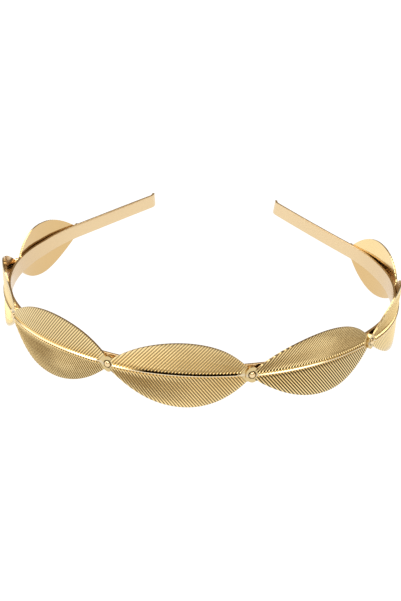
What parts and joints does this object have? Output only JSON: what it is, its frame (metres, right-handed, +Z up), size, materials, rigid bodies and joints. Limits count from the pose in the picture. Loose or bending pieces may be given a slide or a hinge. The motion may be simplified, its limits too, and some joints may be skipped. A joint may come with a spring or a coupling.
{
  "type": "leaf headband",
  "caption": "Metal headband lying on its edge: ribbed leaves riveted in a chain along a thin spring band, with bare tails and out-turned round tips.",
  "frame": {"origin": "centre of the bounding box in X and Y, at its lowest point, where the leaves' lower edges rest", "axes": "+Y from the middle leaf at the front towards the open tails, +X towards the right of the picture, +Z up off the surface it lies on"},
  "size_m": [0.1248, 0.146, 0.0192],
  "materials": {
    "band": "smooth satin gold tone",
    "leaf": "gold tone, ribbed and bright outside, satin inside",
    "rivet": "polished gold tone"
  },
  "bodies": {
    "root": {"band": "band", "leaf_center": "leaf", "leaf_front_left": "leaf", "leaf_front_right": "leaf", "leaf_side_left": "leaf", "leaf_side_right": "leaf", "leaf_back_left": "leaf", "leaf_back_right": "leaf", "rivet_1": "rivet", "rivet_2": "rivet", "rivet_3": "rivet", "rivet_4": "rivet", "rivet_5": "rivet", "rivet_6": "rivet", "rivet_7": "rivet", "rivet_8": "rivet"}
  },
  "joints": []
}
